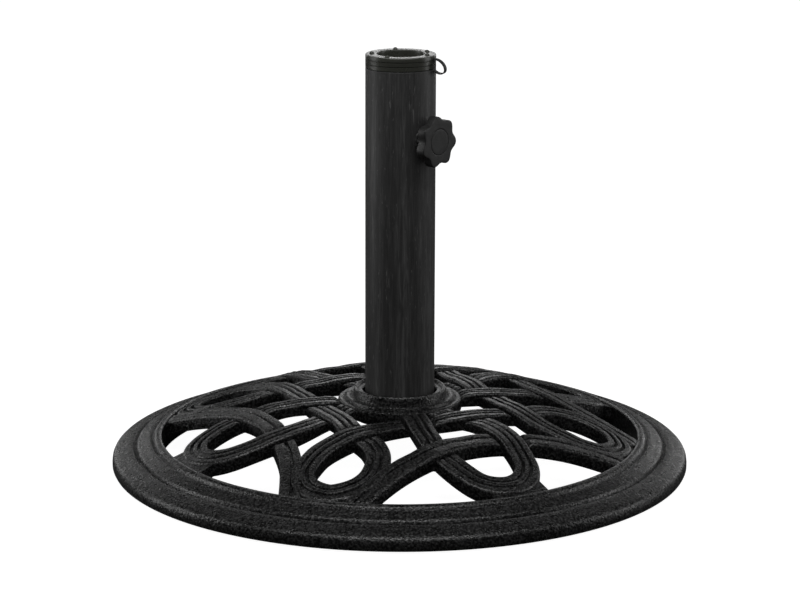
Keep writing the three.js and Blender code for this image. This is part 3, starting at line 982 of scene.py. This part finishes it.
def clamp_knob():
    """Lobed body, hollow behind with a middle boss, with a seat for the cap in its face."""
    back, face = KNOB_BACK, KNOB_FACE
    plain = KNOB_VALLEY_R
    bore = SCREW_R + 0.3
    rings = [knob_ring(plain - r, z, 0.0) for r, z in (
        (bore, face - 1.2), (bore, back + 0.5), (bore + 0.5, back),
        (7.6, back), (8.1, back + 0.5), (8.5, back + 4.3), (9.0, back + 4.6))]
    rings += [knob_ring(inset, back + z) for inset, z in (
        (4.0, 4.6), (3.5, 4.3), (3.0, 0.5), (2.6, 0.0), (1.0, 0.0), (0.5, 0.12),
        (0.15, 0.45), (0.0, 1.0))]
    rings += [knob_ring(inset, face - z) for inset, z in (
        (0.0, 0.8), (0.06, 0.5), (0.2, 0.25), (0.45, 0.08), (0.8, 0.01), (2.6, 0.0))]
    rings += [knob_ring(plain - r, face - z, 0.0) for r, z in (
        (12.4, 0.0), (11.0, 0.0), (CAP_R + 0.25, 0.02), (CAP_R + 0.1, 0.12),
        (CAP_R + 0.1, 1.2))]
    return mesh_from("knob", *moved(lofted(rings, closed=True), on_screw))


def knob_cap():
    top = KNOB_FACE + 0.1
    profile = [
        (CAP_R, CAP_BOTTOM), (CAP_R, top - 0.3), (CAP_R - 0.08, top - 0.12),
        (CAP_R - 0.25, top - 0.03), (CAP_R - 0.5, top), (7.0, top), (4.0, top - 0.01),
        (1.0, top - 0.02),
    ]
    return mesh_from("cap", *moved(spun(profile, 112), on_screw))


def clamp_screw():
    start = PAD_TIP + PAD_T + GAP
    end = KNOB_FACE - 2.2 - GAP
    thread = threaded(SCREW_R, 0.75, SCREW_PITCH, start, end)
    return mesh_from("screw", *moved(thread, on_screw))


def pressure_pad():
    radius = SCREW_R - 0.3
    tip, end = PAD_TIP, PAD_TIP + PAD_T
    profile = [
        (radius - 1.1, tip), (radius - 0.4, tip + 0.15), (radius, tip + 0.6), (radius, end - 0.5),
        (radius - 0.15, end - 0.15), (radius - 0.5, end),
    ]
    return mesh_from("pad", *moved(spun(profile, 48), on_screw))


stand_for("clamp_knob", clamp_knob(), KNOB, "knob", 40)
stand_for("knob_cap", knob_cap(), CAP, "knob", 40)
stand_for("clamp_screw", clamp_screw(), ZINC, "knob", 60)
stand_for("pressure_pad", pressure_pad(), PAD, "screw_pad")


# ---- floor, light and camera ----
def floor_material():
    """White to the camera, dim in the object's own reflections, and clear from below."""
    material = bpy.data.materials.new("floor")
    material.use_nodes = True
    tree = material.node_tree
    tree.nodes.clear()
    output = tree.nodes.new("ShaderNodeOutputMaterial")
    path = tree.nodes.new("ShaderNodeLightPath")
    mix = tree.nodes.new("ShaderNodeMixShader")
    seen = tree.nodes.new("ShaderNodeAddShader")
    glow = tree.nodes.new("ShaderNodeEmission")
    glow.inputs["Strength"].default_value = FLOOR_GLOW
    lit = tree.nodes.new("ShaderNodeBsdfDiffuse")
    lit.inputs["Color"].default_value = (0.3, 0.3, 0.3, 1)
    dim = tree.nodes.new("ShaderNodeBsdfDiffuse")
    dim.inputs["Color"].default_value = (FLOOR_DIM, FLOOR_DIM, FLOOR_DIM, 1)
    tree.links.new(path.outputs["Is Camera Ray"], mix.inputs["Fac"])
    tree.links.new(dim.outputs["BSDF"], mix.inputs[1])
    tree.links.new(seen.outputs["Shader"], mix.inputs[2])
    tree.links.new(glow.outputs["Emission"], seen.inputs[0])
    tree.links.new(lit.outputs["BSDF"], seen.inputs[1])
    side = tree.nodes.new("ShaderNodeNewGeometry")
    whole = tree.nodes.new("ShaderNodeMixShader")
    clear = tree.nodes.new("ShaderNodeBsdfTransparent")
    tree.links.new(side.outputs["Backfacing"], whole.inputs["Fac"])
    tree.links.new(mix.outputs["Shader"], whole.inputs[1])
    tree.links.new(clear.outputs["BSDF"], whole.inputs[2])
    tree.links.new(whole.outputs["Shader"], output.inputs["Surface"])
    return material


FLOOR_GLOW, FLOOR_DIM = 0.97, 0.1
FLOOR_HALF = 6  # metres
WORLD_SEEN, WORLD_LIGHT = 1.0, 0.04
floor = bpy.data.meshes.new("floor")
corners = [(x * FLOOR_HALF, y * FLOOR_HALF, 0) for x, y in ((-1, -1), (1, -1), (1, 1), (-1, 1))]
floor.from_pydata(corners, [], [(0, 1, 2, 3)])
link("floor", floor, floor_material())

world = bpy.data.worlds.new("studio")
bpy.context.scene.world = world
world.use_nodes = True
path = world.node_tree.nodes.new("ShaderNodeLightPath")
strength = world.node_tree.nodes.new("ShaderNodeMapRange")
strength.inputs["To Min"].default_value = WORLD_LIGHT
strength.inputs["To Max"].default_value = WORLD_SEEN
background = world.node_tree.nodes["Background"]
background.inputs["Color"].default_value = (1, 1, 1, 1)
world.node_tree.links.new(path.outputs["Is Camera Ray"], strength.inputs["Value"])
world.node_tree.links.new(strength.outputs["Result"], background.inputs["Strength"])
bpy.context.scene.view_settings.view_transform = "Standard"


def softbox(name, place, target, width, height, radiance):
    """A soft panel of even brightness; its power follows from its size."""
    data = bpy.data.lights.new(name, "AREA")
    data.shape = "RECTANGLE"
    data.size, data.size_y = width, height
    data.energy = radiance * math.pi * width * height
    light = bpy.data.objects.new(name, data)
    light.location = place
    light.rotation_euler = (Vector(target) - Vector(place)).to_track_quat("-Z", "Y").to_euler()
    light.visible_camera = False
    bpy.context.scene.collection.objects.link(light)


softbox("overhead", (0, -0.75, 1.8), (0, 0, 0.1), 1.8, 0.45, 5.7)
softbox("front", (0, -2.4, 1.7), (0, 0, 0.15), 1.8, 1.0, 0.7)
softbox("left", (-1.6, 0.2, 0.6), (0, 0, 0.15), 0.6, 1.2, 2.9)
softbox("right", (1.6, 0.2, 0.6), (0, 0, 0.15), 0.6, 1.2, 2.2)
softbox("back", (0, 3.0, 0.8), (0, 0, 0.32), 0.6, 0.45, 2.7)
softbox("back high", (0, 2.8, 1.5), (0, 0, 0.05), 2.6, 0.6, 1.0)
softbox("back left", (-1.5, 2.6, 0.45), (-0.1, 0, 0.1), 1.0, 0.8, 1.3)
softbox("back right", (1.5, 2.6, 0.45), (0.1, 0, 0.1), 1.0, 0.8, 1.6)

CAMERA_SIDE, CAMERA_AWAY, CAMERA_HIGH = 0.0, 2.1, 0.64957 + FOOT_STAND * MM
CAMERA_DIP, CAMERA_ROLL = 0.24284, 0.0030  # radians
CAMERA_LENS = 125.3
camera_data = bpy.data.cameras.new("camera")
camera_data.sensor_width = 36
camera_data.lens = CAMERA_LENS
camera = bpy.data.objects.new("camera", camera_data)
camera.matrix_world = (
    Matrix.Translation((CAMERA_SIDE, -CAMERA_AWAY, CAMERA_HIGH))
    @ Matrix.Rotation(math.pi / 2 - CAMERA_DIP, 4, "X")
    @ Matrix.Rotation(CAMERA_ROLL, 4, "Z")
)
bpy.context.scene.collection.objects.link(camera)
bpy.context.scene.camera = camera
